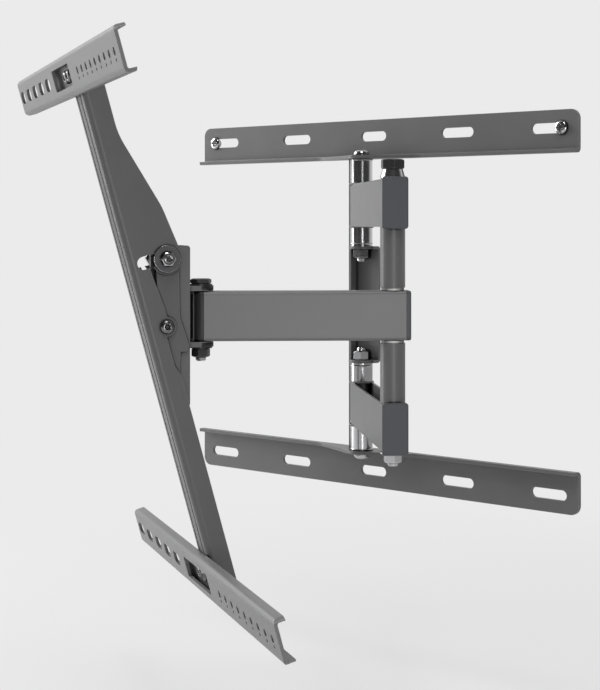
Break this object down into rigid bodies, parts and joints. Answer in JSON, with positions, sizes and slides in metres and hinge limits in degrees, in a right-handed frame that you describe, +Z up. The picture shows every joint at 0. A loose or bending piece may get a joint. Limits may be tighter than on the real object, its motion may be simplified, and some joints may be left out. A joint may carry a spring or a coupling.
{
  "type": "double arm television wall mount",
  "caption": "Full-motion television wall mount with slotted wall rails, folding links and arm, and a tilting column that carries slotted rails for the screen.",
  "frame": {"origin": "centre of the wall slot pattern, in the wall plane", "axes": "+X right along the wall rails as seen from the room, +Y into the wall, +Z up"},
  "size_m": [0.4384, 0.4474, 0.4179],
  "materials": {
    "paint": "satin",
    "black_paint": "satin",
    "plated_steel": "polished",
    "cap_plastic": "matte",
    "glide_plastic": "matte"
  },
  "bodies": {
    "wall_frame": {"upper_wall_rail": "paint", "lower_wall_rail": "paint", "wall_post": "paint", "post_tray": "paint", "end_screws": "plated_steel", "upper_pivot_bolt": "plated_steel", "lower_pivot_bolt": "plated_steel", "wall_pivot_nuts": "plated_steel", "wall_pivot_washers": "plated_steel"},
    "links": {"upper_link": "paint", "lower_link": "paint", "upper_outer_bush": "plated_steel", "lower_outer_bush": "plated_steel", "upper_inner_bush": "plated_steel", "lower_inner_bush": "plated_steel", "upper_link_cap": "cap_plastic", "lower_link_cap": "cap_plastic", "elbow_bolt": "black_paint", "elbow_collar": "plated_steel", "elbow_nut": "plated_steel", "elbow_washers": "plated_steel", "elbow_glides": "glide_plastic", "upper_elbow_sleeve": "paint", "lower_elbow_sleeve": "paint"},
    "arm": {"front_arm": "paint", "arm_end_cap": "cap_plastic", "arm_nose_plug": "cap_plastic", "arm_elbow_tube": "plated_steel", "arm_swivel_tube": "plated_steel"},
    "head": {"swivel_bracket": "black_paint", "set_screw": "black_paint", "swivel_bolt": "black_paint", "swivel_nut": "black_paint", "swivel_washers": "black_paint", "right_tilt_plate": "paint", "left_tilt_plate": "paint", "tilt_bolt": "plated_steel", "tilt_nut": "plated_steel", "lock_bolt": "plated_steel", "lock_nut": "plated_steel", "lock_washer": "plated_steel"},
    "screen_frame": {"column": "paint", "upper_tv_rail": "paint", "lower_tv_rail": "paint", "upper_saddle": "paint", "lower_saddle": "paint", "rail_bolts": "plated_steel", "rail_nuts": "plated_steel"}
  },
  "joints": [
    {"name": "link_swing", "type": "hinge", "parent": "wall_frame", "child": "links", "pos_m": [0, -0.02, 0], "axis": [0, 0, 1], "range_deg": [-36, 42]},
    {"name": "arm_fold", "type": "hinge", "parent": "links", "child": "arm", "pos_m": [0.12514, -0.13507, 0], "axis": [0, 0, 1], "range_deg": [-40, 92]},
    {"name": "head_swivel", "type": "hinge", "parent": "arm", "child": "head", "pos_m": [0.01781, -0.24128, 0], "axis": [0, 0, 1], "range_deg": [-70, 45]},
    {"name": "screen_tilt", "type": "hinge", "parent": "head", "child": "screen_frame", "pos_m": [0.00203, -0.26797, -0.007], "axis": [0.8607, -0.509, 0], "range_deg": [-20.4, 0]}
  ]
}
